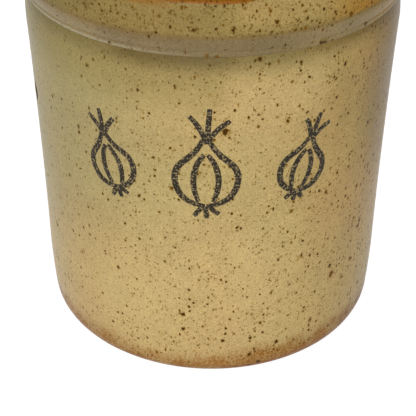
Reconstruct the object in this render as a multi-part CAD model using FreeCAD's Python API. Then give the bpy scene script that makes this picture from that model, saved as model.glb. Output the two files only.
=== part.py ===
import FreeCAD, Part

import math
import os

from FreeCAD import Vector

# Onion keeper: a wheel-thrown stoneware jar with a thick rolled collar, two air
# holes in its wall, and a loose lid that drops onto a ledge inside the rim.
# The lid's knob is thrown apart and luted into a socket on top of the lid.
# All sizes are millimetres.  The jar stands on z = 0 and its axis is the Z axis.
# The front of the jar faces -Y and the air holes lie on the X axis.
# A rounding is given by its reach: how far it runs along each side of its corner.

# Jar wall, outside
jar_height = 211.0            # table to the top of the lip
shoulder_radius = 89.7        # widest part of the wall, just under the collar
waist_inset = 3.8             # how much slimmer the wall is halfway up
heel_inset = 4.8              # how much slimmer it is where the foot begins
foot_inset = 7.1              # how much slimmer it is at the table
heel_height = 24.4            # where the wall starts to draw in to the foot
waist_sweep = 60.0            # reach of the gentle sweep at the waist
heel_sweep = 14.0             # reach of the sweep at the heel
shoulder_sweep = 7.0          # reach of the roll-in under the collar
foot_round = 9.8              # reach of the rounding at the table

# Jar wall, inside
wall_thickness = 6.7
heel_thickness = 7.5
floor_thickness = 6.5
inside_corner_round = 12.0    # between the floor and the wall
inside_shoulder_sweep = 12.0

# Foot ring that the jar stands on
foot_ring_width = 8.2
foot_recess_depth = 2.5
foot_ring_round = 1.0

# Rolled collar
collar_height = 28.7          # bead's lower edge to the top of the lip
shoulder_below_bead = 10.3    # height of the roll-in under the collar
groove_depth = 2.0            # how far the wall tucks in under the bead
groove_rise = 0.6             # how far the groove reaches up behind the bead
bead_overhang = 0.3           # bead's edge beyond the shoulder
band_height = 9.9             # bead's edge to the crest
band_flare = 2.9              # crest beyond the bead's edge
lip_batter = 0.4              # how far the collar leans in above the crest
groove_round = 1.0
bead_round = 1.6
crest_round = 1.8
lip_round = 3.0

# Gallery inside the rim, where the lid sits
lip_thickness = 6.0
gallery_depth = 8.0           # top of the lip down to the ledge
ledge_width = 7.0
ledge_edge_height = 2.5
ledge_underside_height = 4.5  # slope that carries the ledge back to the wall
gallery_round = 1.0

# Air holes
air_hole_radius = 5.0
air_hole_below_collar = 54.2  # hole's centre below the bead's edge
air_hole_round = 1.2

# Lid
lid_clearance = 1.0           # rim of the lid to the gallery wall
ring_clearance = 2.0          # locating ring to the ledge's edge
lid_rim_thickness = 6.8
lid_rim_round = 2.2
lid_band_width = 9.5          # nearly level band around the rim
lid_band_rise = 0.6
lid_step_width = 6.0          # slope from the band up to the dome
lid_step_height = 10.5        # top of that slope above the seat
lid_haunch_width = 24.0       # outer, steeper part of the dome
lid_haunch_drop = 1.7         # its upper edge below the crown
lid_crown_height = 16.0       # seat to the level pad under the knob
lid_thickness = 7.0           # at the middle
lid_dome_round = 12.0
lid_step_round = 2.5
lid_hollow_edge_height = 2.5  # where the hollow meets the locating ring
lid_hollow_round = 5.0
ring_depth = 7.5
ring_thickness = 5.2
ring_round = 1.4

# Knob and its socket
pad_radius = 17.0
pad_round = 1.5
socket_radius = 6.0
socket_depth = 3.0
lute_gap = 0.2                # slip joint round and under the tenon
knob_height = 27.0            # pad to the top of the knob
knob_foot_radius = 14.5
knob_foot_height = 1.2        # upright edge of the knob's foot
knob_neck_radius = 9.0
knob_neck_height = 7.5
knob_head_radius = 20.0
knob_head_height = 14.5       # pad to the widest part of the head
knob_shoulder_radius = 13.5
knob_top_drop = 1.6           # edge of the shoulder below the top
knob_neck_round = 5.0
knob_head_round = 5.5
knob_shoulder_round = 4.5
tenon_round = 0.6

# Places worked out from the sizes above
bead_height = jar_height - collar_height
crest_height = bead_height + band_height
shoulder_height = bead_height - shoulder_below_bead
waist_height = (shoulder_height + heel_height) / 2
floor_height = foot_recess_depth + floor_thickness
ledge_height = jar_height - gallery_depth
ledge_edge_foot = ledge_height - ledge_edge_height
ledge_foot = ledge_edge_foot - ledge_underside_height

waist_radius = shoulder_radius - waist_inset
heel_radius = shoulder_radius - heel_inset
foot_radius = shoulder_radius - foot_inset
foot_ring_radius = foot_radius - foot_round - foot_ring_width
groove_radius = shoulder_radius - groove_depth
bead_radius = shoulder_radius + bead_overhang
crest_radius = bead_radius + band_flare
lip_radius = crest_radius - lip_batter
gallery_radius = lip_radius - lip_thickness
mouth_radius = gallery_radius - ledge_width
inside_shoulder_radius = shoulder_radius - wall_thickness
inside_waist_radius = waist_radius - wall_thickness
inside_heel_radius = heel_radius - heel_thickness
inside_foot_radius = foot_radius - heel_thickness
air_hole_height = bead_height - air_hole_below_collar

lid_radius = gallery_radius - lid_clearance
ring_radius = mouth_radius - ring_clearance
ring_hollow_radius = ring_radius - ring_thickness
ring_height = ledge_height - ring_depth
band_radius = lid_radius - lid_band_width
dome_radius = band_radius - lid_step_width
haunch_radius = dome_radius - lid_haunch_width
pad_height = ledge_height + lid_crown_height

side_share = 0.98             # part of a side that its two roundings may take
on_edge = 0.01                # how near a point is to count as on the hole's edge


def rounded_outline(corners):
    """Closed wire from corners given as (radius, height, reach of the rounding).

    Where the roundings at both ends of a side would meet, both are shortened.
    """
    points = [Vector(0, radius, height) for radius, height, reach in corners]
    reaches = [reach for radius, height, reach in corners]
    count = len(points)
    shares = []
    for i in range(count):
        following = (i + 1) % count
        side = (points[following] - points[i]).Length
        wanted = reaches[i] + reaches[following]
        fits = wanted <= side * side_share
        shares.append(1.0 if fits else side * side_share / wanted)
    edges = []
    arcs = []
    for i in range(count):
        corner = points[i]
        reach = reaches[i] * min(shares[i - 1], shares[i])
        back = (points[i - 1] - corner).normalize()
        onward = (points[(i + 1) % count] - corner).normalize()
        half_angle = back.getAngle(onward) / 2
        inward = (back + onward).normalize()
        depth = reach * (1 - math.sin(half_angle)) / math.cos(half_angle)
        arcs.append((corner + back * reach, corner + inward * depth, corner + onward * reach))
    for i in range(count):
        start, middle, end = arcs[i]
        if reaches[i] > 0:
            edges.append(Part.Arc(start, middle, end).toShape())
        edges.append(Part.LineSegment(end, arcs[(i + 1) % count][0]).toShape())
    return Part.Wire(edges)


def turned(corners):
    """Solid made by turning an outline once round the Z axis."""
    face = Part.Face(rounded_outline(corners))
    return face.revolve(Vector(0, 0, 0), Vector(0, 0, 1), 360)


def air_hole_cutter():
    """One rod along X that goes through the wall on both sides."""
    reach = crest_radius
    start = Vector(-reach, 0, air_hole_height)
    return Part.makeCylinder(air_hole_radius, 2 * reach, start, Vector(1, 0, 0))


def air_hole_edges(shape):
    """Edges where the air holes meet the inner and outer wall."""
    found = []
    for edge in shape.Edges:
        spans = [
            math.hypot(point.y, point.z - air_hole_height) - air_hole_radius
            for point in edge.discretize(9)
        ]
        if max(abs(span) for span in spans) < on_edge:
            found.append(edge)
    return found


def make_jar_body():
    """Foot, wall, rolled collar and gallery in one thrown piece, with its air holes."""
    jar = turned([
        (0, foot_recess_depth, 0),
        (foot_ring_radius, foot_recess_depth, foot_ring_round),
        (foot_ring_radius, 0, foot_ring_round),
        (foot_radius, 0, foot_round),
        (heel_radius, heel_height, heel_sweep),
        (waist_radius, waist_height, waist_sweep),
        (shoulder_radius, shoulder_height, shoulder_sweep),
        (groove_radius, bead_height + groove_rise, groove_round),
        (bead_radius, bead_height, bead_round),
        (crest_radius, crest_height, crest_round),
        (lip_radius, jar_height, lip_round),
        (gallery_radius, jar_height, lip_round),
        (gallery_radius, ledge_height, gallery_round),
        (mouth_radius, ledge_height, gallery_round),
        (mouth_radius, ledge_edge_foot, gallery_round),
        (inside_shoulder_radius, ledge_foot, gallery_round),
        (inside_shoulder_radius, shoulder_height, inside_shoulder_sweep),
        (inside_waist_radius, waist_height, waist_sweep),
        (inside_heel_radius, heel_height, heel_sweep),
        (inside_foot_radius, floor_height, inside_corner_round),
        (0, floor_height, 0),
    ])
    jar = jar.cut(air_hole_cutter())
    return jar.makeFillet(air_hole_round, air_hole_edges(jar))


def make_lid_plate():
    """Domed lid with a level seat, a ring that locates it in the mouth, and a socket."""
    return turned([
        (0, pad_height - lid_thickness, 0),
        (ring_hollow_radius, ledge_height + lid_hollow_edge_height, lid_hollow_round),
        (ring_hollow_radius, ring_height, ring_round),
        (ring_radius, ring_height, ring_round),
        (ring_radius, ledge_height, gallery_round),
        (lid_radius, ledge_height, lid_rim_round),
        (lid_radius, ledge_height + lid_rim_thickness, lid_rim_round),
        (band_radius, ledge_height + lid_rim_thickness + lid_band_rise, lid_step_round),
        (dome_radius, ledge_height + lid_step_height, lid_step_round),
        (haunch_radius, pad_height - lid_haunch_drop, lid_dome_round),
        (pad_radius, pad_height, pad_round),
        (socket_radius, pad_height, 0),
        (socket_radius, pad_height - socket_depth, 0),
        (0, pad_height - socket_depth, 0),
    ])


def make_lid_knob():
    """Mushroom knob with a short tenon that fills the lid's socket."""
    tenon_radius = socket_radius - lute_gap
    tenon_foot = pad_height - socket_depth + lute_gap
    return turned([
        (0, tenon_foot, 0),
        (tenon_radius, tenon_foot, tenon_round),
        (tenon_radius, pad_height, 0),
        (knob_foot_radius, pad_height, 0),
        (knob_foot_radius, pad_height + knob_foot_height, tenon_round),
        (knob_neck_radius, pad_height + knob_neck_height, knob_neck_round),
        (knob_head_radius, pad_height + knob_head_height, knob_head_round),
        (knob_shoulder_radius, pad_height + knob_height - knob_top_drop, knob_shoulder_round),
        (0, pad_height + knob_height, 0),
    ])


def export(name, shape):
    """Write one piece as its own file."""
    shape.exportStep("parts/" + name + ".step")
    print(name, "solids", len(shape.Solids), "valid", shape.isValid(), "volume", round(shape.Volume))


os.makedirs("parts", exist_ok=True)
export("jar_body", make_jar_body())
export("lid_plate", make_lid_plate())
export("lid_knob", make_lid_knob())
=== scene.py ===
import math

import bmesh
import bpy
from mathutils import Matrix, Quaternion, Vector, noise
from mathutils.bvhtree import BVHTree


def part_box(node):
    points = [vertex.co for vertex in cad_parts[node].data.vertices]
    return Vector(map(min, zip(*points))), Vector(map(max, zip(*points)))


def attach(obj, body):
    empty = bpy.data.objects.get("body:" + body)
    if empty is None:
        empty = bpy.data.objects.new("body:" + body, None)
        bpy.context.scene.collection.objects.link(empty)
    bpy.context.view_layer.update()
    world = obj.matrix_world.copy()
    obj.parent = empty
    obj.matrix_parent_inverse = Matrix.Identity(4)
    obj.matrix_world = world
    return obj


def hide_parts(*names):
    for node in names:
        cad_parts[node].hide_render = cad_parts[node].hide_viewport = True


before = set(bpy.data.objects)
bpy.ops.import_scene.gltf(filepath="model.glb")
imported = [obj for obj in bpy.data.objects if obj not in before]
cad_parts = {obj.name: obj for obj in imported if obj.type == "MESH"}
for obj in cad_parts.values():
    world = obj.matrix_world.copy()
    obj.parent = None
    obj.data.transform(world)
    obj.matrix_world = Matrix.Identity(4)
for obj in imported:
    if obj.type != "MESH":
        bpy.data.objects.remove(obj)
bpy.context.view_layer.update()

# Onion keeper: a glazed stoneware jar with a rolled collar and two air holes, and
# a loose lid whose knob was thrown apart.  Sizes are metres, in the frame's axes:
# the jar's axis is Z, its front faces -Y and its air holes lie on the X axis.
# A rounding is given by its reach: how far it runs along each side of its corner.

bl_info = {
    "name": "Onion keeper",
    "version": (1, 0, 0),
    "blender": (4, 5, 0),
    "location": "View3D > Sidebar > Onion keeper",
    "description": "Turns a speckled stoneware onion jar and its lid, and sets it on a studio floor",
    "category": "Add Mesh",
}

MM = 0.001
# Points of a mesh that lie nearer together than this are one point
MERGED = 0.002 * MM
# How far round from the front, towards -X, the camera stands
VIEW_TURN = math.radians(13)
# Top of the lip down to the ledge
GALLERY_DEPTH = 8 * MM
# Specular level of the glaze, and of the ink in it
GLOSS = 0.08
jar_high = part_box("jar_body")[1]


def length(name, description, default):
    """A size in metres that a user may change."""
    return bpy.props.FloatProperty(
        name=name, description=description, default=default, precision=4,
        min=0.0, subtype="DISTANCE", unit="LENGTH",
    )


def colour(name, description, default):
    """A glaze, clay or ink colour, in linear light."""
    return bpy.props.FloatVectorProperty(
        name=name, description=description, default=default, size=3,
        min=0.0, max=1.0, subtype="COLOR",
    )


class JarSizes(bpy.types.PropertyGroup):
    """The jar's wall, collar, gallery and air holes"""

    height: length("Height", "Table to the top of the lip", jar_high.z)
    shoulder_radius: length("Shoulder radius", "Wall just under the collar", 89.7 * MM)
    waist_inset: length("Waist inset", "How much slimmer the wall is halfway up", 3.8 * MM)
    heel_inset: length("Heel inset", "How much slimmer it is where the foot begins", 4.8 * MM)
    foot_inset: length("Foot inset", "How much slimmer it is at the table", 7.1 * MM)
    heel_height: length("Heel height", "Where the wall starts to draw in", 24.4 * MM)
    wall: length("Wall", "Thickness of the wall", 6.7 * MM)
    heel_wall: length("Heel wall", "Thickness of the wall near the floor", 7.5 * MM)
    floor: length("Floor", "Thickness of the floor", 6.5 * MM)
    foot_recess: length("Foot recess", "Depth of the recess inside the foot ring", 2.5 * MM)
    foot_ring: length("Foot ring", "Width of the ring that the jar stands on", 8.2 * MM)
    collar_height: length("Collar height", "Bead's edge to the top of the lip", 28.7 * MM)
    bead_overhang: length("Bead overhang", "Bead's edge beyond the shoulder", 0.3 * MM)
    band_height: length("Band height", "Bead's edge to the crest", 9.9 * MM)
    band_flare: length("Band flare", "Crest beyond the bead's edge", 2.9 * MM)
    lip_batter: length("Lip batter", "How far the collar leans in above the crest", 0.4 * MM)
    lip_thickness: length("Lip thickness", "Thickness of the collar at the lip", 6 * MM)
    gallery_depth: length("Gallery depth", "Top of the lip down to the ledge", GALLERY_DEPTH)
    ledge_width: length("Ledge width", "Ledge that carries the lid", 7 * MM)
    air_hole_radius: length("Air hole radius", "Radius of each air hole", 5 * MM)
    air_hole_drop: length("Air hole drop", "Hole's centre below the bead's edge", 54.2 * MM)


class LidSizes(bpy.types.PropertyGroup):
    """The lid and its knob"""

    radius: length("Radius", "Outside of the rim", 85.5 * MM)
    seat: length("Seat height", "Height of the ledge that the lid sits on", jar_high.z - GALLERY_DEPTH)
    rim: length("Rim", "Thickness of the rim", 6.8 * MM)
    band: length("Band", "Nearly level band around the rim", 9.5 * MM)
    step: length("Step", "Slope from the band up to the dome", 6 * MM)
    step_height: length("Step height", "Top of that slope above the seat", 10.5 * MM)
    crown: length("Crown", "Seat to the level pad under the knob", 16 * MM)
    thickness: length("Thickness", "Thickness at the middle", 7 * MM)
    ring_radius: length("Ring radius", "Outside of the locating ring", 77.5 * MM)
    ring_depth: length("Ring depth", "Locating ring below the seat", 7.5 * MM)
    ring_width: length("Ring width", "Thickness of the locating ring", 5.2 * MM)
    pad: length("Pad", "Radius of the level pad under the knob", 17 * MM)
    socket: length("Socket", "Radius of the socket for the knob's tenon", 6 * MM)
    socket_depth: length("Socket depth", "Depth of that socket", 3 * MM)
    knob_height: length("Knob height", "Pad to the top of the knob", 27 * MM)
    knob_head: length("Knob head", "Corner of the knob's head", 20 * MM)
    knob_neck: length("Knob neck", "Corner of the knob's neck", 9 * MM)
    knob_foot: length("Knob foot", "Radius where the knob meets the lid", 14.5 * MM)


class GlazeLook(bpy.types.PropertyGroup):
    """Colours of the glaze, the clay and the painted ink, and of the light and shade painted on them"""

    oatmeal: colour("Oatmeal", "Main colour of the glaze", (0.545, 0.388, 0.166))
    # Olive: deeper glaze, and on the jar's wall also painted shade towards the shoulder under the collar
    olive_and_shade: colour("Olive", "Deeper glaze up to the shoulder", (0.300, 0.227, 0.082))
    moss: colour("Moss", "Greener glaze on the jar's cool side", (0.330, 0.278, 0.125))
    # Pool: thick glaze under the bead, darkened further by a painted shadow of the collar
    pool: colour("Pool", "Thick glaze that ran together under the bead", (0.130, 0.090, 0.028))
    # Umber: dark glaze, and on the collar's band, which faces down, also painted shade
    umber_and_shade: colour("Umber", "Dark glaze of the collar's band", (0.200, 0.142, 0.067))
    # Ash: painted grey highlight along the bead's lower edge, on the left
    bead_highlight: colour("Ash", "Pale grey glaze along the bead", (0.390, 0.340, 0.220))
    honey: colour("Honey", "Glaze of the collar above its crest", (0.255, 0.180, 0.058))
    amber: colour("Amber", "Paler glaze on a part of the collar", (0.400, 0.280, 0.098))
    flash: colour("Flash", "Warm side, where the flame licked the glaze", (0.480, 0.245, 0.030))
    rust: colour("Rust", "Thin glaze at the lip and the foot", (0.265, 0.098, 0.006))
    # Bark: thin dark glaze along an edge, and on the jar's wall also painted shade at the right edge and
    # under the bead
    bark_and_shade: colour("Bark", "Thin dark glaze along an edge", (0.185, 0.108, 0.020))
    # Speck: dark iron specks, also painted on the air holes' walls as their shade
    speck_and_shade: colour("Speck", "Dark iron specks", (0.055, 0.024, 0.0))
    ember: colour("Ember", "Brown iron specks", (0.150, 0.060, 0.0))
    halo: colour("Halo", "Tint of the glaze round a speck", (0.620, 0.470, 0.130))
    clay: colour("Clay", "Bare clay under the foot", (0.330, 0.215, 0.120))
    ink: colour("Ink", "Painted onions", (0.030, 0.024, 0.016))
    ink_grain: colour("Ink grain", "Glaze that shows through the ink", (0.250, 0.190, 0.095))


class MotifSizes(bpy.types.PropertyGroup):
    """The row of painted onions"""

    height: length("Height", "Middle of the row above the table", 118.5 * MM)
    spacing: length("Spacing", "From one onion to the next, round the wall", 46 * MM)
    bulb: length("Bulb", "Width of the middle bulb", 28.5 * MM)
    stroke: length("Stroke", "Width of the brush stroke", 3.3 * MM)
    proud: length("Proud", "How far the ink stands out of the glaze", 0.12 * MM)
    around: bpy.props.FloatProperty(
        name="Around", description="Turn of the row from the front towards -X",
        default=math.radians(14.7), subtype="ANGLE", unit="ROTATION",
    )


# Turned shapes

def rounded_wire(corners, division):
    """A bmesh with the outline as a wire in the YZ plane, corners rounded and sides divided.

    Each corner is (radius, height, reach of its rounding).
    """
    fewest_segments = 5
    wire = bmesh.new()
    verts = [wire.verts.new((0.0, radius, height)) for radius, height, reach in corners]
    for first, second in zip(verts, verts[1:]):
        wire.edges.new((first, second))
    for vert, (radius, height, reach) in zip(verts, corners):
        if reach > 0:
            bmesh.ops.bevel(
                wire, geom=[vert], offset=reach, offset_type="OFFSET", profile=0.5, material=-1,
                segments=max(fewest_segments, math.ceil(2 * reach / division)), affect="VERTICES",
            )
    for edge in wire.edges[:]:
        cuts = math.ceil(edge.calc_length() / division) - 1
        if cuts > 0:
            bmesh.ops.subdivide_edges(wire, edges=[edge], cuts=cuts)
    return wire


def spin_closed(wire, steps):
    """Turns the wire once round the Z axis, with its seam and poles closed.

    A quarter is spun and copied round, because one whole spin is far slower.
    """
    quarter = math.tau / 4
    bmesh.ops.spin(
        wire, geom=wire.verts[:] + wire.edges[:], cent=(0, 0, 0), axis=(0, 0, 1),
        angle=quarter, steps=steps // 4, use_merge=False,
    )
    for turn in (quarter, 2 * quarter):
        copied = bmesh.ops.duplicate(wire, geom=wire.verts[:] + wire.edges[:] + wire.faces[:])
        verts = [item for item in copied["geom"] if isinstance(item, bmesh.types.BMVert)]
        bmesh.ops.rotate(wire, verts=verts, cent=(0, 0, 0), matrix=Matrix.Rotation(turn, 3, "Z"))
    bmesh.ops.remove_doubles(wire, verts=wire.verts[:], dist=MERGED)
    bmesh.ops.recalc_face_normals(wire, faces=wire.faces[:])
    return wire


def hand_turn(bm, out_of_round, ring_depth, ring_pitch):
    """Moves the clay in and out a little, as the thrower's fingers leave it.

    The inside keeps the finger rings and the outside only a trace of them.
    """
    still_radius = 3 * MM
    outside_share = 0.12
    drift_waves = 22
    drift_share = 0.6
    oval_turn = 1.1
    bm.normal_update()
    moves = []
    for vert in bm.verts:
        radius = vert.co.xy.length
        if radius < still_radius:
            continue
        outward = vert.co.xy / radius
        facing = vert.normal.xy.dot(outward)
        around = math.atan2(vert.co.y, vert.co.x)
        depth = ring_depth * (max(-facing, 0) + outside_share * max(facing, 0))
        ring = depth * math.sin(math.tau * vert.co.z / ring_pitch + around)
        drift = noise.noise(vert.co * drift_waves) * drift_share
        swell = math.cos(2 * around + oval_turn) * vert.co.z / jar_high.z
        moves.append((vert, outward * (ring + (drift + swell) * out_of_round)))
    for vert, move in moves:
        vert.co.x += move.x
        vert.co.y += move.y


def finished_piece(bm, name, material, body):
    """Makes the object, smooth and with its material, and sets it on its body."""
    mesh = bpy.data.meshes.new(name)
    for face in bm.faces:
        face.smooth = True
    bm.to_mesh(mesh)
    bm.free()
    mesh.materials.append(material)
    piece = bpy.data.objects.new(name, mesh)
    bpy.context.scene.collection.objects.link(piece)
    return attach(piece, body)


# The jar

def bead_edge(sizes):
    """Height of the collar's lower edge."""
    return sizes.height - sizes.collar_height


def jar_corners(sizes):
    """The jar's outline from the middle of its foot, up the outside and back down."""
    softened = 1 * MM
    foot_round = 9.8 * MM
    heel_sweep = 13.6 * MM
    waist_sweep = 58 * MM
    shoulder_sweep = 7 * MM
    shoulder_below_bead = 10.3 * MM
    groove_depth = 2 * MM
    groove_rise = 0.6 * MM
    bead_round = 1.5 * MM
    crest_round = 1.8 * MM
    lip_round = 3 * MM
    ledge_edge_height = 2.5 * MM
    ledge_to_wall = 7 * MM
    inside_shoulder_sweep = 12 * MM
    inside_heel_sweep = 8.2 * MM
    inside_foot_round = 7 * MM
    # A narrow groove above the bead: out from its edge, up from its edge, and reach
    narrow_groove = (
        (0.9 * MM, 2.6 * MM, 1 * MM),
        (0.6 * MM, 3.5 * MM, 0.3 * MM),
        (1.2 * MM, 4.3 * MM, 0.5 * MM),
    )
    # Where the collar starts to lean in: back from the crest, up from it, and reach
    lean_inset, lean_rise, lean_round = 0.35 * MM, 3.6 * MM, 1.6 * MM
    bead_height = bead_edge(sizes)
    shoulder_height = bead_height - shoulder_below_bead
    waist_height = (shoulder_height + sizes.heel_height) / 2
    waist_radius = sizes.shoulder_radius - sizes.waist_inset
    heel_radius = sizes.shoulder_radius - sizes.heel_inset
    foot_radius = sizes.shoulder_radius - sizes.foot_inset
    ring_radius = foot_radius - foot_round - sizes.foot_ring
    bead_radius = sizes.shoulder_radius + sizes.bead_overhang
    crest_radius = bead_radius + sizes.band_flare
    crest_height = bead_height + sizes.band_height
    lip_radius = crest_radius - sizes.lip_batter
    gallery_radius = lip_radius - sizes.lip_thickness
    mouth_radius = gallery_radius - sizes.ledge_width
    ledge_height = sizes.height - sizes.gallery_depth
    inside_radius = sizes.shoulder_radius - sizes.wall
    floor_height = sizes.foot_recess + sizes.floor
    return [
        (0, sizes.foot_recess, 0),
        (ring_radius, sizes.foot_recess, softened),
        (ring_radius, 0, softened),
        (foot_radius, 0, foot_round),
        (heel_radius, sizes.heel_height, heel_sweep),
        (waist_radius, waist_height, waist_sweep),
        (sizes.shoulder_radius, shoulder_height, shoulder_sweep),
        (sizes.shoulder_radius - groove_depth, bead_height + groove_rise, softened),
        (bead_radius, bead_height, bead_round),
        *[(bead_radius + out, bead_height + up, reach) for out, up, reach in narrow_groove],
        (crest_radius, crest_height, crest_round),
        (crest_radius - lean_inset, crest_height + lean_rise, lean_round),
        (lip_radius, sizes.height, lip_round),
        (gallery_radius, sizes.height, lip_round),
        (gallery_radius, ledge_height, softened),
        (mouth_radius, ledge_height, softened),
        (mouth_radius, ledge_height - ledge_edge_height, softened),
        (inside_radius, ledge_height - ledge_to_wall, softened),
        (inside_radius, shoulder_height, inside_shoulder_sweep),
        (waist_radius - sizes.wall, waist_height, waist_sweep),
        (heel_radius - sizes.heel_wall, sizes.heel_height, inside_heel_sweep),
        (foot_radius - sizes.heel_wall, floor_height, inside_foot_round),
        (0, floor_height, 0),
    ]


def hole_patches(bm, side, centre, reach):
    """Faces of the outer wall, and of the inner wall, in a square round an air hole."""
    patches = [[], []]
    near = {
        face
        for vert in bm.verts
        if vert.co.x * side > 0 and abs(vert.co.y) < reach and abs(vert.co.z - centre) < reach
        for face in vert.link_faces
    }
    for face in near:
        patches[face.normal.x * side < 0].append(face)
    return patches


def draw_in(bm, patch, side, into_wall, centre, hole_radius):
    """Cuts a patch out of the wall and draws its edge in, ring by ring, to the hole.

    Returns the edges of the innermost ring.
    """
    rounding = 1.2 * MM
    lead_in = 0.6 * MM
    arc_steps = 6
    inside = set(patch)
    rim = [edge for edge in {e for face in patch for e in face.edges} if set(edge.link_faces) - inside]
    bmesh.ops.delete(bm, geom=patch, context="FACES")
    verts = {vert for edge in rim for vert in edge.verts}
    top = max(verts, key=lambda vert: vert.co.z).co.copy()
    low = min(verts, key=lambda vert: vert.co.z).co.copy()
    slope = (top.xy.length - low.xy.length) / (top.z - low.z)
    rings = [(hole_radius + rounding + step * lead_in, 0) for step in (3, 2, 1, 0)]
    for step in range(1, arc_steps + 1):
        turn = math.radians(90) * step / arc_steps
        rings.append((hole_radius + rounding * (1 - math.sin(turn)), rounding * (1 - math.cos(turn))))
    for number, (ring_radius, sink) in enumerate(rings):
        if number:
            made = bmesh.ops.extrude_edge_only(bm, edges=rim)["geom"]
            rim = [item for item in made if isinstance(item, bmesh.types.BMEdge) and item.is_boundary]
            verts = {vert for edge in rim for vert in edge.verts}
        for vert in verts:
            turn = math.atan2(vert.co.z - centre, vert.co.y)
            vert.co.y = ring_radius * math.cos(turn)
            vert.co.z = centre + ring_radius * math.sin(turn)
            surface = low.xy.length + slope * (vert.co.z - low.z)
            vert.co.x = side * (math.sqrt(surface**2 - vert.co.y**2) + into_wall * sink)
    return rim


def pierce(bm, sizes):
    """Opens the two air holes through the wall, with softened edges."""
    patch_reach = 5.5 * MM
    centre = bead_edge(sizes) - sizes.air_hole_drop
    for side in (-1, 1):
        outer, inner = hole_patches(bm, side, centre, patch_reach)
        loops = draw_in(bm, outer, side, -1, centre, sizes.air_hole_radius)
        loops += draw_in(bm, inner, side, 1, centre, sizes.air_hole_radius)
        made = bmesh.ops.bridge_loops(bm, edges=loops)
        bmesh.ops.subdivide_edges(bm, edges=made["edges"], cuts=2)
    bmesh.ops.recalc_face_normals(bm, faces=bm.faces[:])


class ONION_OT_turn_jar(bpy.types.Operator):
    """Turns the jar, pierces its air holes and glazes it"""

    bl_idname = "onion_keeper.turn_jar"
    bl_label = "Turn the jar"

    def execute(self, context):
        sizes = context.scene.onion_jar
        jar = spin_closed(rounded_wire(jar_corners(sizes), division=2 * MM), steps=232)
        pierce(jar, sizes)
        hand_turn(jar, out_of_round=0.12 * MM, ring_depth=0.28 * MM, ring_pitch=7.5 * MM)
        piece = finished_piece(jar, "jar", jar_glaze(context.scene), "jar")
        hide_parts("jar_body")
        return {"FINISHED"}


# The lid and its knob

def lid_corners(sizes):
    """The lid's outline from the middle of its hollow, round the rim and over the top."""
    hollow_edge_rise = 2.5 * MM
    hollow_round = 5 * MM
    ring_round = 1.4 * MM
    seat_round = 1 * MM
    rim_round = 2.2 * MM
    band_rise = 0.6 * MM
    step_round = 2.5 * MM
    haunch_width = 24 * MM
    haunch_drop = 1.7 * MM
    dome_round = 12 * MM
    pad_round = 1.5 * MM
    pad_height = sizes.seat + sizes.crown
    socket_floor = pad_height - sizes.socket_depth
    rim_top = sizes.seat + sizes.rim
    ring_foot = sizes.seat - sizes.ring_depth
    ring_hollow = sizes.ring_radius - sizes.ring_width
    band_radius = sizes.radius - sizes.band
    dome_radius = band_radius - sizes.step
    return [
        (0, pad_height - sizes.thickness, 0),
        (ring_hollow, sizes.seat + hollow_edge_rise, hollow_round),
        (ring_hollow, ring_foot, ring_round),
        (sizes.ring_radius, ring_foot, ring_round),
        (sizes.ring_radius, sizes.seat, seat_round),
        (sizes.radius, sizes.seat, rim_round),
        (sizes.radius, rim_top, rim_round),
        (band_radius, rim_top + band_rise, step_round),
        (dome_radius, sizes.seat + sizes.step_height, step_round),
        (dome_radius - haunch_width, pad_height - haunch_drop, dome_round),
        (sizes.pad, pad_height, pad_round),
        (sizes.socket, pad_height, 0),
        (sizes.socket, socket_floor, 0),
        (0, socket_floor, 0),
    ]


def knob_corners(sizes):
    """The knob's outline from the middle of its tenon to the top of its head."""
    lute_gap = 0.2 * MM
    edge_round = 0.6 * MM
    foot_edge = 1.2 * MM
    neck_rise = 7.5 * MM
    neck_round = 5 * MM
    head_rise = 14.5 * MM
    head_round = 5.5 * MM
    shoulder_inset = 6.5 * MM
    shoulder_drop = 1.6 * MM
    shoulder_round = 4.5 * MM
    pad_height = sizes.seat + sizes.crown
    knob_top = pad_height + sizes.knob_height
    tenon_radius = sizes.socket - lute_gap
    tenon_foot = pad_height - sizes.socket_depth + lute_gap
    return [
        (0, tenon_foot, 0),
        (tenon_radius, tenon_foot, edge_round),
        (tenon_radius, pad_height, 0),
        (sizes.knob_foot, pad_height, 0),
        (sizes.knob_foot, pad_height + foot_edge, edge_round),
        (sizes.knob_neck, pad_height + neck_rise, neck_round),
        (sizes.knob_head, pad_height + head_rise, head_round),
        (sizes.knob_head - shoulder_inset, knob_top - shoulder_drop, shoulder_round),
        (0, knob_top, 0),
    ]


class ONION_OT_turn_lid(bpy.types.Operator):
    """Turns the lid and its knob and glazes them"""

    bl_idname = "onion_keeper.turn_lid"
    bl_label = "Turn the lid"

    def execute(self, context):
        sizes = context.scene.onion_lid
        plate = spin_closed(rounded_wire(lid_corners(sizes), division=1.6 * MM), steps=224)
        hand_turn(plate, out_of_round=0.1 * MM, ring_depth=0.15 * MM, ring_pitch=5 * MM)
        piece = finished_piece(plate, "lid", lid_glaze(context.scene), "lid")
        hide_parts("lid_plate")
        knob = spin_closed(rounded_wire(knob_corners(sizes), division=0.9 * MM), steps=112)
        hand_turn(knob, out_of_round=0.08 * MM, ring_depth=0.1 * MM, ring_pitch=4 * MM)
        piece = finished_piece(knob, "knob", knob_glaze(context.scene), "lid")
        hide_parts("lid_knob")
        return {"FINISHED"}


# The painted onions

def other_side(stroke):
    """The stroke on the other side of the bulb, a little narrower, as a hand draws it."""
    narrowing = 0.97
    return tuple((-narrowing * across, up) for across, up in stroke)


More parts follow.
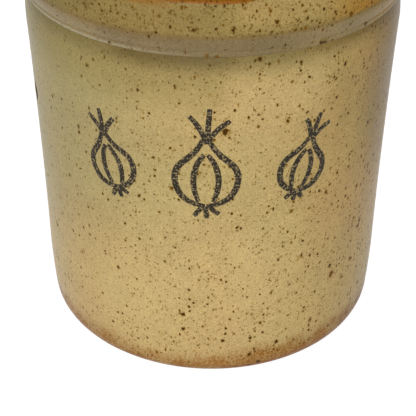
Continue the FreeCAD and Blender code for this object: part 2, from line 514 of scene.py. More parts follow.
# Control points of each stroke (across, up), in widths of the bulb from its middle
bulb_side = ((0.05, 0.80), (0.16, 0.52), (0.52, 0.34), (0.56, -0.10), (0.34, -0.42), (0.01, -0.46))
bulb_rib = ((0.03, 0.52), (0.22, 0.30), (0.27, -0.05), (0.12, -0.38))
onion_strokes = (
    bulb_side,
    other_side(bulb_side),
    bulb_rib,
    other_side(bulb_rib),
    ((0.0, 0.72), (-0.04, 0.98), (-0.26, 1.22)),
    ((0.02, 0.76), (0.04, 1.06), (0.06, 1.36)),
    ((0.03, 0.72), (0.10, 0.96), (0.38, 1.14)),
    ((-0.05, -0.47), (-0.12, -0.56), (-0.20, -0.66)),
    ((0.0, -0.47), (0.0, -0.58), (0.02, -0.70)),
    ((0.05, -0.47), (0.13, -0.55), (0.22, -0.62)),
)


def brush_strokes(context, sizes):
    """A flat mesh of the row, across along X and up along Z, with flattened round strokes."""
    outer_size = 0.78
    outer_lean = 14
    tip_width = 0.72
    ink_curve = bpy.data.curves.new("strokes", "CURVE")
    ink_curve.dimensions = "3D"
    ink_curve.bevel_depth = sizes.stroke / 2
    ink_curve.bevel_resolution = 3
    ink_curve.resolution_u = 10
    ink_curve.use_fill_caps = True
    for place, size, lean in ((-1, outer_size, outer_lean), (0, 1.0, 0), (1, outer_size, -outer_lean)):
        turn = Matrix.Rotation(math.radians(lean), 2)
        for stroke in onion_strokes:
            spline = ink_curve.splines.new("NURBS")
            spline.points.add(len(stroke) - 1)
            last = len(stroke) - 1
            for number, (point, corner) in enumerate(zip(spline.points, stroke)):
                across, up = turn @ (Vector(corner) * sizes.bulb * size)
                point.co = (across + place * sizes.spacing, 0, up, 1)
                point.radius = tip_width if number in (0, last) else 1.0
            spline.order_u = min(4, len(stroke))
            spline.use_endpoint_u = True
    drawing = bpy.data.objects.new("strokes", ink_curve)
    context.scene.collection.objects.link(drawing)
    graph = context.evaluated_depsgraph_get()
    mesh = bpy.data.meshes.new_from_object(drawing.evaluated_get(graph))
    bpy.data.objects.remove(drawing)
    return mesh


class ONION_OT_paint_onions(bpy.types.Operator):
    """Paints a row of three onions on the front of the jar"""

    bl_idname = "onion_keeper.paint_onions"
    bl_label = "Paint the onions"

    def execute(self, context):
        sizes = context.scene.onion_motif
        jar = bpy.data.objects["jar"]
        wall = BVHTree.FromPolygons(
            [vert.co for vert in jar.data.vertices], [face.vertices for face in jar.data.polygons]
        )
        motif = bmesh.new()
        motif.from_mesh(brush_strokes(context, sizes))
        bmesh.ops.remove_doubles(motif, verts=motif.verts[:], dist=MERGED)
        body = motif.verts.layers.float.new("ink_body")
        far_out = jar_high.x * 2
        wall_radius = context.scene.onion_jar.shoulder_radius
        for vert in motif.verts:
            thick = -vert.co.y / (sizes.stroke / 2)
            turn = sizes.around - vert.co.x / wall_radius
            outward = Vector((-math.sin(turn), -math.cos(turn), 0))
            height = sizes.height + vert.co.z
            found, normal, index, distance = wall.ray_cast(
                outward * far_out + Vector((0, 0, height)), -outward
            )
            if found is None:
                raise RuntimeError("the painted row runs off the wall")
            vert[body] = thick
            vert.co = found + outward * thick * sizes.proud
        bmesh.ops.recalc_face_normals(motif, faces=motif.faces[:])
        finished_piece(motif, "painted_onions", ink_paint(context.scene), "jar")
        return {"FINISHED"}


# Building blocks for the materials

def put(tree, kind, wires, **settings):
    """Adds a node. Each entry of wires sets an input, or joins it to an output."""
    made = tree.nodes.new("ShaderNode" + kind)
    for name, value in settings.items():
        setattr(made, name, value)
    for key, value in wires.items():
        if isinstance(value, bpy.types.NodeSocket):
            tree.links.new(value, made.inputs[key])
        else:
            made.inputs[key].default_value = value
    return made


def maths(tree, operation, first, second=0.0):
    """One math node's result."""
    return put(tree, "Math", {0: first, 1: second}, operation=operation).outputs[0]


def vector(tree, operation, first, second=(0, 0, 0)):
    """One vector math node's vector."""
    return put(tree, "VectorMath", {0: first, 1: second}, operation=operation).outputs[0]


def size_of(tree, arrow):
    """How long a vector is."""
    return put(tree, "VectorMath", {0: arrow}, operation="LENGTH").outputs["Value"]


def fade(tree, value, start, end):
    """0 up to start and 1 from end on, with a soft change between them."""
    wires = {0: value, 1: start, 2: end, 3: 0.0, 4: 1.0}
    return put(tree, "MapRange", wires, interpolation_type="SMOOTHSTEP").outputs[0]


def blended(tree, share, first, second, blend="MIX"):
    """Two colours mixed by a share."""
    wires = {0: share, 6: first, 7: second}
    return put(tree, "Mix", wires, data_type="RGBA", blend_type=blend).outputs[2]


def solid(tint):
    """A colour with its alpha, as a colour socket wants it."""
    return (*tint, 1.0)


def cloud(tree, place, scale, detail=2.0, roughness=0.5):
    """A soft noise from 0 to 1 at so many waves a metre."""
    wires = {"Vector": place, "Scale": scale, "Detail": detail, "Roughness": roughness}
    return put(tree, "TexNoise", wires).outputs[0]


def swing(tree, value, reach):
    """How far a soft noise is from its middle, times a reach."""
    return maths(tree, "MULTIPLY", maths(tree, "SUBTRACT", value, 0.5), reach)


def total(tree, first, *others):
    """The sum of several values."""
    for other in others:
        first = maths(tree, "ADD", first, other)
    return first


def new_group(name, inputs, outputs):
    """A node group with named sockets. Returns it with its inputs and its outputs."""
    tree = bpy.data.node_groups.new(name, "ShaderNodeTree")
    for title, kind in inputs.items():
        tree.interface.new_socket(title, in_out="INPUT", socket_type="NodeSocket" + kind)
    for title, kind in outputs.items():
        tree.interface.new_socket(title, in_out="OUTPUT", socket_type="NodeSocket" + kind)
    given = tree.nodes.new("NodeGroupInput").outputs
    result = tree.nodes.new("NodeGroupOutput").inputs
    return tree, given, result


def place_group(tree, name, wires):
    """Sets a node group into a material or another group, and returns its outputs."""
    return put(tree, "Group", wires, node_tree=bpy.data.node_groups[name]).outputs


# Effects that the materials share

def make_specks_group():
    """Iron specks: blotchy spots of uneven size, a share of them left out, each with its own tone."""
    wobble_waves = 0.7
    wobble_reach = 2.2
    run_down = (1.0, 1.0, 0.8)
    smallest = 0.5
    halo_size = 1.9
    tree, given, result = new_group(
        "Iron specks",
        {"Vector": "Vector", "Spacing": "Float", "Share": "Float", "Radius": "Float", "Edge": "Float"},
        {"Mask": "Float", "Halo": "Float", "Tone": "Float"},
    )
    wobble_scale = maths(tree, "DIVIDE", wobble_waves, given["Radius"])
    wires = {"Vector": given["Vector"], "Scale": wobble_scale, "Detail": 1.0}
    wobble = put(tree, "TexNoise", wires).outputs["Color"]
    centred = vector(tree, "SUBTRACT", wobble, (0.5, 0.5, 0.5))
    reach = maths(tree, "MULTIPLY", given["Radius"], wobble_reach)
    push = put(tree, "VectorMath", {0: centred, "Scale": reach}, operation="SCALE").outputs[0]
    runny = vector(tree, "MULTIPLY", vector(tree, "ADD", given["Vector"], push), run_down)
    closeness = maths(tree, "DIVIDE", 1.0, given["Spacing"])
    cells = put(tree, "TexVoronoi", {"Vector": runny, "Scale": closeness})
    parts = put(tree, "SeparateColor", {0: cells.outputs["Color"]})
    size = maths(tree, "MULTIPLY", given["Radius"], maths(tree, "ADD", parts.outputs[1], smallest))
    size = maths(tree, "MULTIPLY", size, closeness)
    inner = maths(tree, "MULTIPLY", size, maths(tree, "SUBTRACT", 1.0, given["Edge"]))
    kept = maths(tree, "LESS_THAN", parts.outputs[0], given["Share"])
    for title, outer in (("Mask", size), ("Halo", maths(tree, "MULTIPLY", size, halo_size))):
        wires = {0: cells.outputs["Distance"], 1: inner, 2: outer, 3: 1.0, 4: 0.0}
        spot = put(tree, "MapRange", wires, interpolation_type="SMOOTHSTEP").outputs[0]
        tree.links.new(maths(tree, "MULTIPLY", spot, kept), result[title])
    tree.links.new(parts.outputs[2], result["Tone"])


def make_band_group():
    """A band round the pot at one height, whose middle wanders up and down."""
    tree, given, result = new_group(
        "Wandering band",
        {"Height": "Float", "Wander": "Float", "Place": "Float", "Width": "Float", "Drift": "Float"},
        {"Mask": "Float"},
    )
    moved = maths(tree, "ADD", given["Height"], swing(tree, given["Wander"], given["Drift"]))
    off = maths(tree, "ABSOLUTE", maths(tree, "SUBTRACT", moved, given["Place"]))
    wires = {0: off, 1: 0.0, 2: given["Width"], 3: 1.0, 4: 0.0}
    mask = put(tree, "MapRange", wires, interpolation_type="SMOOTHSTEP").outputs[0]
    tree.links.new(mask, result["Mask"])


def speckled(tree, look, place, iron, base):
    """The glaze's colour with its iron specks on it, and the mask of the specks."""
    halo_strength = 0.6
    # Spacing, share of the specks that show, radius, softness of the edge, and strength
    layers = (
        (1.3 * MM, 0.65, 0.33 * MM, 0.4, 0.65),
        (2.1 * MM, 0.38, 0.47 * MM, 0.25, 1.0),
        (4.6 * MM, 0.20, 0.75 * MM, 0.25, 1.0),
        (14 * MM, 0.32, 1.25 * MM, 0.25, 1.0),
    )
    dark = 0.0
    for spacing, share, radius, edge, strength in layers:
        wires = {
            "Vector": place, "Spacing": spacing, "Share": maths(tree, "MULTIPLY", iron, share),
            "Radius": radius, "Edge": edge,
        }
        specks = place_group(tree, "Iron specks", wires)
        stain = maths(tree, "MULTIPLY", specks["Halo"], halo_strength * strength)
        base = blended(tree, stain, base, solid(look.halo), "MULTIPLY")
        mask = maths(tree, "MULTIPLY", specks["Mask"], strength)
        brown = fade(tree, specks["Tone"], 0.5, 0.95)
        base = blended(tree, mask, base, blended(tree, brown, solid(look.speck_and_shade), solid(look.ember)))
        dark = maths(tree, "MAXIMUM", dark, mask)
    return base, dark


def make_glaze_group(look):
    """Stoneware glaze over iron-bearing clay: colour, roughness and relief.

    Base is the glaze's own colour there. Break is where it runs thin and rusty, Bare
    where there is none, and Iron how many specks show.
    """
    warm_tint = (1.01, 0.995, 0.98, 1)
    cool_tint = (0.97, 1.01, 1.0, 1)
    glaze_roughness = 0.28
    bare_roughness = 0.85
    peel_depth = 0.035 * MM
    pit_depth = 0.04 * MM
    grit_depth = 0.15 * MM
    tree, given, result = new_group(
        "Stoneware glaze",
        {"Vector": "Vector", "Base": "Color", "Break": "Float", "Bare": "Float", "Iron": "Float"},
        {"Color": "Color", "Roughness": "Float", "Height": "Float"},
    )
    place = given["Vector"]
    drifts = cloud(tree, place, 24, 2)
    patches = cloud(tree, place, 110, 3)
    grain = cloud(tree, place, 800, 2, 0.7)
    flecks = cloud(tree, place, 2000, 1)
    grog = cloud(tree, place, 1500, 3)
    mottle = total(
        tree, 1.0, swing(tree, drifts, 0.25), swing(tree, patches, 0.22),
        swing(tree, grain, 0.45), swing(tree, flecks, 1.05),
    )
    base = blended(tree, 1.0, given["Base"], mottle, "MULTIPLY")
    cooler = fade(tree, cloud(tree, place, 17, 2), 0.35, 0.65)
    base = blended(tree, 1.0, base, blended(tree, cooler, warm_tint, cool_tint), "MULTIPLY")
    ragged = total(tree, given["Break"], swing(tree, patches, 0.8), swing(tree, grain, 1.1))
    thin = maths(tree, "MULTIPLY", fade(tree, given["Break"], 0.0, 0.3), fade(tree, ragged, 0.15, 0.9))
    base = blended(tree, thin, base, solid(look.rust))
    gathering = total(tree, 1.0, swing(tree, cloud(tree, place, 55, 1), 2.2))
    iron = maths(tree, "MULTIPLY", given["Iron"], gathering)
    base, dark = speckled(tree, look, place, iron, base)
    gritty = maths(tree, "MULTIPLY", fade(tree, grog, 0.4, 0.75), 0.5)
    bare = blended(tree, gritty, solid(look.clay), solid(look.speck_and_shade))
    tree.links.new(blended(tree, given["Bare"], base, bare), result["Color"])
    glossy = total(
        tree, glaze_roughness, maths(tree, "MULTIPLY", patches, 0.12), maths(tree, "MULTIPLY", dark, 0.15),
    )
    wires = {0: given["Bare"], 2: glossy, 3: bare_roughness}
    tree.links.new(put(tree, "Mix", wires, data_type="FLOAT").outputs[0], result["Roughness"])
    peel = maths(tree, "MULTIPLY", cloud(tree, place, 260, 1), peel_depth)
    pits = maths(tree, "MULTIPLY", dark, -pit_depth)
    grit = maths(tree, "MULTIPLY", maths(tree, "MULTIPLY", grog, given["Bare"]), grit_depth)
    tree.links.new(total(tree, peel, pits, grit), result["Height"])


def make_groups(scene):
    """Builds the shared effects once."""
    if "Stoneware glaze" not in bpy.data.node_groups:
        make_specks_group()
        make_band_group()
        make_glaze_group(scene.onion_glaze)


class Sheet:
    """A new material's nodes, with the object's own coordinates at hand."""

    def __init__(self, name):
        self.material = bpy.data.materials.new(name)
        self.material.use_nodes = True
        self.tree = self.material.node_tree
        self.shader = self.tree.nodes["Principled BSDF"]
        self.shader.inputs["Specular IOR Level"].default_value = GLOSS
        self.place = put(self.tree, "TexCoord", {}).outputs["Object"]
        self.height = put(self.tree, "SeparateXYZ", {0: self.place}).outputs["Z"]
        self.flat = vector(self.tree, "MULTIPLY", self.place, (1, 1, 0))
        self.radius = size_of(self.tree, self.flat)
        self.wander = cloud(self.tree, self.place, 14, 2)

    def maths(self, operation, first, second):
        """One math node's result."""
        return maths(self.tree, operation, first, second)

    def total(self, *values):
        """The sum of several values."""
        return total(self.tree, *values)

    def fade(self, value, start, end, strength=1.0):
        """0 up to start and the strength from end on, with a soft change between them."""
        return self.maths("MULTIPLY", fade(self.tree, value, start, end), strength)

    def both(self, first, second):
        """The part that two masks share."""
        return self.maths("MULTIPLY", first, second)

    def strongest(self, masks):
        """The largest of several masks."""
        result = masks[0]
        for mask in masks[1:]:
            result = self.maths("MAXIMUM", result, mask)
        return result

    def between(self, value, low, high, soft, strength=1.0):
        """The strength between two values, fading out over a soft edge."""
        rise = self.fade(value, low - soft, low + soft)
        return self.both(rise, self.fade(value, high + soft, high - soft, strength))

    def drifted(self, reach):
        """The height, wandering up and down by up to about a reach."""
        return self.total(self.height, swing(self.tree, self.wander, 3 * reach))

    def facing(self, degrees):
        """1 on the side that faces so many degrees right of the camera, and -1 opposite it."""
        turn = math.radians(degrees) - VIEW_TURN
        outward = vector(self.tree, "NORMALIZE", self.flat)
        wires = {0: outward, 1: (math.sin(turn), -math.cos(turn), 0)}
        return put(self.tree, "VectorMath", wires, operation="DOT_PRODUCT").outputs["Value"]

    def side(self, degrees, start, end, strength=1.0):
        """The strength on the side that faces so many degrees right of the camera."""
        return self.fade(self.facing(degrees), start, end, strength)

    def band(self, height, width, drift, strength=1.0):
        """A wandering band round the pot at one height."""
        wires = {
            "Height": self.height, "Wander": self.wander, "Place": height, "Width": width, "Drift": drift,
        }
        mask = place_group(self.tree, "Wandering band", wires)["Mask"]
        return self.maths("MULTIPLY", mask, strength)

    def glazed(self, layers, breaks, bare, iron):
        """Glazes the material.

        The layers are the colours of the glaze, each with the mask where it lies over the last.
        """
        base = solid(layers[0])
        for tint, mask in layers[1:]:
            base = blended(self.tree, mask, base, solid(tint))
        wires = {"Vector": self.place, "Base": base, "Break": breaks, "Bare": bare, "Iron": iron}
        glaze = place_group(self.tree, "Stoneware glaze", wires)
        relief = put(self.tree, "Bump", {"Height": glaze["Height"], "Distance": 1.0, "Strength": 1.0})
        self.tree.links.new(glaze["Color"], self.shader.inputs["Base Color"])
        self.tree.links.new(glaze["Roughness"], self.shader.inputs["Roughness"])
        self.tree.links.new(relief.outputs[0], self.shader.inputs["Normal"])
        return self.material


# The jar's glaze

def wall_layers(sheet, look, bead, right, left):
    """Colours of the wall: warm where the flame licked it, darker towards the shoulder, partly as painted
    shade, with painted shade at the right edge and under the bead, and a painted highlight on the
    shoulder.
    """
    height = sheet.height
    drifted = sheet.drifted(8 * MM)
    low = sheet.drifted(1 * MM)
    shoulder = (148 * MM, 173 * MM)
    not_right = sheet.fade(right, 0.85, 0.4)
    licked = sheet.total(0.2, sheet.fade(height, 60 * MM, 160 * MM, 0.3))
    # Strength of the painted shadow under the bead, deepest near the front
    bead_shadow_strength = sheet.total(0.47, sheet.side(-11.5, 0.91, 0.99, 0.4))
    # Share of the painted shadow under the bead on the right
    right_shade_share = sheet.fade(right, 0.45, 0.75, 0.5)
    # Height of a painted highlight on the shoulder
    shoulder_highlight_band = sheet.between(height, *shoulder, 9 * MM, 0.7)
    return [
        (look.flash, sheet.both(sheet.fade(right, 0.35, 1.0), licked)),
        # Darker towards the shoulder: partly deeper glaze, partly painted shade
        (look.olive_and_shade, sheet.fade(drifted, 50 * MM, 150 * MM, 0.33)),
        (look.moss, sheet.both(left, sheet.fade(drifted, 40 * MM, 110 * MM, 0.6))),
        # Painted shade on the shoulder under the collar, except on the right
        (look.olive_and_shade, sheet.both(not_right, sheet.fade(height, *shoulder, 0.8))),
        # Painted shade high on the left of the wall
        (look.olive_and_shade, sheet.both(left, sheet.fade(height, 145 * MM, 165 * MM, 0.3))),
        # Painted shade at the right edge of the wall, where it turns away from the light
        (look.bark_and_shade, sheet.both(sheet.fade(right, 0.78, 1.0, 0.6), sheet.fade(drifted, 60 * MM, 140 * MM))),
        # Painted highlight: a pale patch on the shoulder, a little right of the front
        (look.oatmeal, sheet.both(sheet.side(19.5, 0.94, 0.99), shoulder_highlight_band)),
        # Painted shadow under the bead, over glaze that pools there
        (look.pool, sheet.both(sheet.fade(low, bead - 11 * MM, bead - 1.5 * MM), bead_shadow_strength)),
        # Painted shadow under the bead, on the right
        (look.bark_and_shade, sheet.both(right_shade_share, sheet.fade(low, bead - 5 * MM, bead - 2 * MM))),
    ]


def collar_layers(sheet, look, sizes, right, left, face):
    """Colours of the collar: a dark band up to the crest, partly painted shade, with painted sheen at its
    sides and a painted highlight along the bead, and a paler face.
    """
    lip = sizes.height
    bead = bead_edge(sizes)
    crest = bead + sizes.band_height
    band = sheet.fade(sheet.height, bead + 0.2 * MM, bead + 1.2 * MM)
    # Where the band gets a painted sheen, away from the front
    band_sheen_sides = sheet.maths("SUBTRACT", 1.0, sheet.side(-5.5, 0.80, 0.955))
    above_crest = sheet.fade(sheet.height, crest, crest + 9 * MM, 0.9)
    under_lip = sheet.fade(sheet.height, lip - 5.5 * MM, lip - 3 * MM)
    return [
        # Dark band under the crest: dark glaze, and painted shade where it faces down
        (look.umber_and_shade, band),
        # Painted sheen on the band's sides
        (look.oatmeal, sheet.both(band_sheen_sides, sheet.maths("MULTIPLY", band, 0.22))),
        (look.flash, sheet.both(sheet.fade(right, 0.75, 0.97, 0.4), band)),
        # Painted highlight along the bead, on the left side
        (look.bead_highlight, sheet.both(left, sheet.band(bead + 5.5 * MM, 2.8 * MM, 0.3 * MM, 0.2))),
        (look.bead_highlight, sheet.both(left, sheet.band(bead + 1.5 * MM, 1.9 * MM, 0.3 * MM, 0.75))),
        (look.honey, face),
        (look.amber, sheet.both(sheet.side(24.5, 0.90, 0.99), above_crest)),
        (look.flash, sheet.both(sheet.fade(right, 0.55, 0.85, 0.9), face)),
        (look.rust, sheet.both(sheet.fade(right, 0.6, 0.9, 0.55), face)),
        (look.rust, sheet.both(sheet.side(-26, 0.95, 0.99, 0.6), under_lip)),
        (look.bark_and_shade, sheet.band(crest + 1.0 * MM, 1.8 * MM, 2 * MM, 0.45)),
    ]


def air_hole_shade(sheet, sizes):
    """1 on the walls of the air holes, which are painted dark as their shade, and 0 elsewhere."""
    edge = sizes.air_hole_radius + 0.9 * MM
    axis_height = bead_edge(sizes) - sizes.air_hole_drop
    offset = vector(sheet.tree, "SUBTRACT", sheet.place, (0, 0, axis_height))
    from_axis = size_of(sheet.tree, vector(sheet.tree, "MULTIPLY", offset, (0, 1, 1)))
    near_axis = sheet.fade(from_axis, edge, edge - 0.6 * MM)
    return sheet.both(near_axis, sheet.fade(sheet.radius, 60 * MM, 61 * MM))


def jar_breaks(sheet, lip, right):
    """Where the jar's glaze runs thin: along the lip, and round the foot."""
    lip_height = sheet.total(sheet.drifted(0.6 * MM), sheet.side(-19, 0.80, 0.93, 2.0 * MM))
    foot_fall = sheet.total(
        -1.5 * MM, sheet.fade(right, 0.1, 0.7, -2 * MM), sheet.side(-14, 0.93, 0.99, 3.5 * MM),
    )
    return sheet.strongest([
        sheet.fade(lip_height, lip - 1.0 * MM, lip + 0.3 * MM),
        sheet.fade(sheet.total(sheet.drifted(1 * MM), foot_fall), 10 * MM, 2 * MM),
        sheet.fade(sheet.total(sheet.drifted(2 * MM), foot_fall), 26 * MM, 5 * MM, 0.68),
    ])


def jar_bare(sheet, ledge):
    """Where the jar's clay is bare: inside the foot ring, under it, and where the lid sits."""
    recess = sheet.both(
        sheet.fade(sheet.height, 4 * MM, 2.6 * MM), sheet.fade(sheet.radius, 71 * MM, 69 * MM),
    )
    ring = sheet.fade(sheet.drifted(0.4 * MM), 1.5 * MM, 1.1 * MM)
    seat = sheet.both(
        sheet.between(sheet.height, ledge - 0.4 * MM, ledge + 0.5 * MM, 0.2 * MM),
        sheet.fade(sheet.radius, 88 * MM, 87.5 * MM),
    )
    return sheet.strongest([recess, ring, seat])


def jar_iron(sheet, face):
    """How many specks show: most at the front right and on the collar's face."""
    fewest = 0.45
    around = sheet.total(0.25, sheet.maths("MULTIPLY", sheet.facing(32.5), 0.7))
    return sheet.total(
        sheet.maths("MAXIMUM", fewest, around), sheet.fade(sheet.height, 120 * MM, 155 * MM, -0.22),
        sheet.maths("MULTIPLY", face, 1.5),
    )


def jar_glaze(scene):
    """Glaze of the jar: pale at the foot, darker at the shoulder and dark on the collar, partly as painted
    shade, with painted highlights on the bead and the shoulder.

    It breaks to rust at the lip and the foot, and is wiped off where the jar stands
    and where the lid sits.
    """
    make_groups(scene)
    sizes = scene.onion_jar
    look = scene.onion_glaze
    sheet = Sheet("jar_glaze")
    bead = bead_edge(sizes)
    crest = bead + sizes.band_height
    right = sheet.facing(83.5)
    left = sheet.side(-67.5, 0.3, 0.95)
    face = sheet.fade(sheet.height, crest + 0.2 * MM, crest + 3.2 * MM)
    layers = [
        look.oatmeal,
        *wall_layers(sheet, look, bead, right, left),
        *collar_layers(sheet, look, sizes, right, left, face),
        # Painted shade inside the air holes
        (look.speck_and_shade, air_hole_shade(sheet, sizes)),
    ]
    breaks = jar_breaks(sheet, sizes.height, right)
    bare = jar_bare(sheet, sizes.height - sizes.gallery_depth)
    return sheet.glazed(layers, breaks, bare, jar_iron(sheet, face))


# The lid's glaze, the knob's and the ink

def lid_glaze(scene):
    """Glaze of the lid: rust at the rim, dark at the step, and bare where it is seated."""
    make_groups(scene)
    sizes = scene.onion_lid
    look = scene.onion_glaze
    sheet = Sheet("lid_glaze")
    radius = sheet.radius
    band = sizes.radius - sizes.band
    dome = band - sizes.step
    ring_hollow = sizes.ring_radius - sizes.ring_width
    layers = (
        look.oatmeal,
        (look.olive_and_shade, sheet.fade(sheet.wander, 0.4, 0.65, 0.7)),
        (look.umber_and_shade, sheet.between(radius, band - 1 * MM, band + 3 * MM, 2 * MM, 0.8)),
        (look.flash, sheet.side(77.5, 0.3, 1.0, 0.6)),
        (look.amber, sheet.between(radius, sizes.pad + 2 * MM, sizes.pad + 6 * MM, 3 * MM, 0.5)),
        (look.bark_and_shade, sheet.between(radius, dome, dome + 1 * MM, 0.9 * MM, 0.5)),
    )
    above = sheet.fade(sheet.height, sizes.seat + 4 * MM, sizes.seat + 6 * MM)
    at_rim = sheet.fade(radius, sizes.radius - 2 * MM, sizes.radius - 0.6 * MM)
    below = sheet.fade(sheet.height, sizes.seat + 0.9 * MM, sizes.seat + 0.5 * MM)
    past_hollow = sheet.fade(radius, ring_hollow - 0.3 * MM, ring_hollow + 0.3 * MM)
    return sheet.glazed(layers, sheet.both(at_rim, above), sheet.both(below, past_hollow), iron=0.9)


def knob_glaze(scene):
    """Glaze of the knob: rust over its widest part, deep round the neck."""
    make_groups(scene)
    sizes = scene.onion_lid
    look = scene.onion_glaze
    sheet = Sheet("knob_glaze")
    height = sheet.height
    pad = sizes.seat + sizes.crown
    layers = (
        look.oatmeal,
        (look.umber_and_shade, sheet.between(height, pad + 3 * MM, pad + 9 * MM, 2.5 * MM)),
        (look.amber, sheet.fade(height, pad + 21 * MM, pad + 25 * MM, 0.6)),
        (look.flash, sheet.side(77.5, 0.3, 1.0, 0.6)),
    )
    breaks = sheet.strongest([
        sheet.band(pad + 16.5 * MM, 3 * MM, 2 * MM, 0.7),
        sheet.band(pad + 1.2 * MM, 0.7 * MM, 0.2 * MM, 0.6),
    ])
    return sheet.glazed(layers, breaks, sheet.fade(height, pad + 0.1 * MM, pad - 0.1 * MM), iron=0.9)


def ink_paint(scene):
    """Slate ink on the glaze, granular, with ragged edges."""
    look = scene.onion_glaze
    sheet = Sheet("slate_ink")
    tree = sheet.tree
    attribute = put(tree, "Attribute", {}, attribute_name="ink_body", attribute_type="GEOMETRY")
    grains = cloud(tree, sheet.place, 1050, 1)
    clots = cloud(tree, sheet.place, 600, 2)
    tint = blended(tree, sheet.fade(grains, 0.53, 0.64), solid(look.ink), solid(look.ink_grain))
    cover = sheet.total(attribute.outputs["Fac"], swing(tree, grains, 1.2), swing(tree, clots, 0.5))
    rough = sheet.total(0.3, sheet.maths("MULTIPLY", grains, 0.15))
    tree.links.new(tint, sheet.shader.inputs["Base Color"])
    tree.links.new(sheet.fade(cover, 0.1, 0.3), sheet.shader.inputs["Alpha"])
    tree.links.new(rough, sheet.shader.inputs["Roughness"])
    return sheet.material


# The studio

def add_lamp(scene, name, place, aim, size, watts):
    """A square soft lamp at a place, turned to its aim."""
    lamp_data = bpy.data.lights.new(name, "AREA")
    lamp_data.size = size
    lamp_data.energy = watts
    lamp = bpy.data.objects.new(name, lamp_data)
    scene.collection.objects.link(lamp)
    lamp.location = place
    lamp.rotation_mode = "QUATERNION"
    lamp.rotation_quaternion = (Vector(aim) - Vector(place)).to_track_quat("-Z", "Y")


def seen_directly(tree):
    """1 where the camera sees a surface itself or mirrored in gloss."""
    path = put(tree, "LightPath", {}).outputs
    seen = maths(tree, "MAXIMUM", path["Is Camera Ray"], path["Is Glossy Ray"])
    return maths(tree, "MAXIMUM", seen, path["Is Transmission Ray"])


def add_floor(scene):
    """A pale floor that looks white and keeps the shadow of the jar."""
    half_side = 6
    paper = (0.8, 0.8, 0.8, 1)
    glow_share = 0.75
    glow_strength = 1.25
    bm = bmesh.new()
    bmesh.ops.create_grid(bm, x_segments=1, y_segments=1, size=half_side)
    mesh = bpy.data.meshes.new("floor")
    bm.to_mesh(mesh)
    bm.free()
    floor = bpy.data.objects.new("floor", mesh)
    scene.collection.objects.link(floor)
    material = bpy.data.materials.new("floor_paper")
    material.use_nodes = True
    mesh.materials.append(material)
    tree = material.node_tree
    shader = tree.nodes["Principled BSDF"]
    shader.inputs["Base Color"].default_value = paper
    shader.inputs["Roughness"].default_value = 0.9
    shader.inputs["Specular IOR Level"].default_value = 0
    glow = put(tree, "Emission", {"Color": (1, 1, 1, 1), "Strength": glow_strength})
    share = maths(tree, "MULTIPLY", seen_directly(tree), glow_share)
    mixed = put(tree, "MixShader", {0: share, 1: shader.outputs[0], 2: glow.outputs[0]})
    tree.links.new(mixed.outputs[0], tree.nodes["Material Output"].inputs["Surface"])


def add_world(scene):
    """Plain studio air: white where it is seen, softer where it only lights."""
    seen_strength = 1.0
    lighting_strength = 0.2
    world = bpy.data.worlds.new("studio")
    scene.world = world
    world.use_nodes = True
    tree = world.node_tree
    wires = {0: seen_directly(tree), 2: lighting_strength, 3: seen_strength}
    strength = put(tree, "Mix", wires, data_type="FLOAT").outputs[0]
    tree.links.new(strength, tree.nodes["Background"].inputs["Strength"])
    tree.nodes["Background"].inputs["Color"].default_value = (1, 1, 1, 1)


def add_camera(scene):
    """The camera at the photograph's angle, a little off the front and looking down."""
    away = 611.8 * MM
    height = 461.2 * MM
    pitch = math.radians(34.2)
    yaw = math.radians(0.169)
    roll = math.radians(0.243)
    camera_data = bpy.data.cameras.new("camera")
    camera_data.sensor_width = 36
    camera_data.lens = 121.03
    camera = bpy.data.objects.new("camera", camera_data)
    scene.collection.objects.link(camera)
    scene.camera = camera
    camera.location = (-math.sin(VIEW_TURN) * away, -math.cos(VIEW_TURN) * away, height)
    ahead = Vector((math.sin(VIEW_TURN - yaw), math.cos(VIEW_TURN - yaw), -math.tan(pitch)))
    camera.rotation_mode = "QUATERNION"
    camera.rotation_quaternion = ahead.to_track_quat("-Z", "Y") @ Quaternion((0, 0, 1), roll)


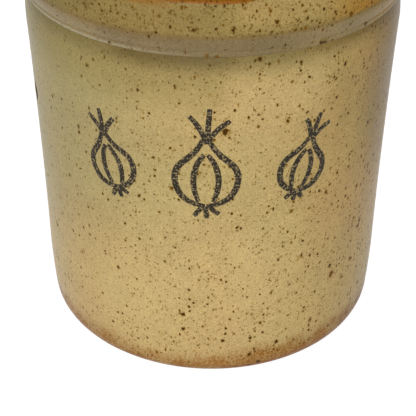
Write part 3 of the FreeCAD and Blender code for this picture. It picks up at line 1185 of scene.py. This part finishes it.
class ONION_OT_set_stage(bpy.types.Operator):
    """Lays the floor, sets the lamps and places the camera"""

    bl_idname = "onion_keeper.set_stage"
    bl_label = "Set the stage"

    def execute(self, context):
        scene = context.scene
        add_floor(scene)
        add_world(scene)
        middle = (0, 0, jar_high.z / 2)
        add_lamp(scene, "high_key", (-0.587, -1.526, 0.87), middle, size=0.8, watts=12)
        add_lamp(scene, "low_key", (-0.643, -1.663, 0.45), middle, size=0.8, watts=12.6)
        add_lamp(scene, "back", (0.235, 1.55, 1.0), middle, size=0.8, watts=18)
        add_camera(scene)
        scene.view_settings.view_transform = "Standard"
        return {"FINISHED"}


class ONION_PT_panel(bpy.types.Panel):
    """Sizes, colours and steps of the onion keeper"""

    bl_idname = "ONION_PT_panel"
    bl_label = "Onion keeper"
    bl_space_type = "VIEW_3D"
    bl_region_type = "UI"
    bl_category = "Onion keeper"

    def draw(self, context):
        for step in steps:
            self.layout.operator(step.bl_idname)
        for name, group in groups.items():
            box = self.layout.box()
            box.label(text=group.__doc__)
            settings = getattr(context.scene, name)
            for field in group.__annotations__:
                box.prop(settings, field)


groups = {
    "onion_jar": JarSizes,
    "onion_lid": LidSizes,
    "onion_motif": MotifSizes,
    "onion_glaze": GlazeLook,
}
steps = (ONION_OT_turn_jar, ONION_OT_turn_lid, ONION_OT_paint_onions, ONION_OT_set_stage)


def register():
    """Adds the settings, the operators and the panel to Blender."""
    for name, group in groups.items():
        bpy.utils.register_class(group)
        setattr(bpy.types.Scene, name, bpy.props.PointerProperty(type=group))
    for step in steps:
        bpy.utils.register_class(step)
    bpy.utils.register_class(ONION_PT_panel)


def unregister():
    """Takes them out again."""
    bpy.utils.unregister_class(ONION_PT_panel)
    for step in reversed(steps):
        bpy.utils.unregister_class(step)
    for name, group in groups.items():
        delattr(bpy.types.Scene, name)
        bpy.utils.unregister_class(group)


def main():
    """Builds the whole scene."""
    register()
    bpy.ops.onion_keeper.turn_jar()
    bpy.ops.onion_keeper.turn_lid()
    bpy.ops.onion_keeper.paint_onions()
    bpy.ops.onion_keeper.set_stage()


if __name__ == "__main__":
    main()
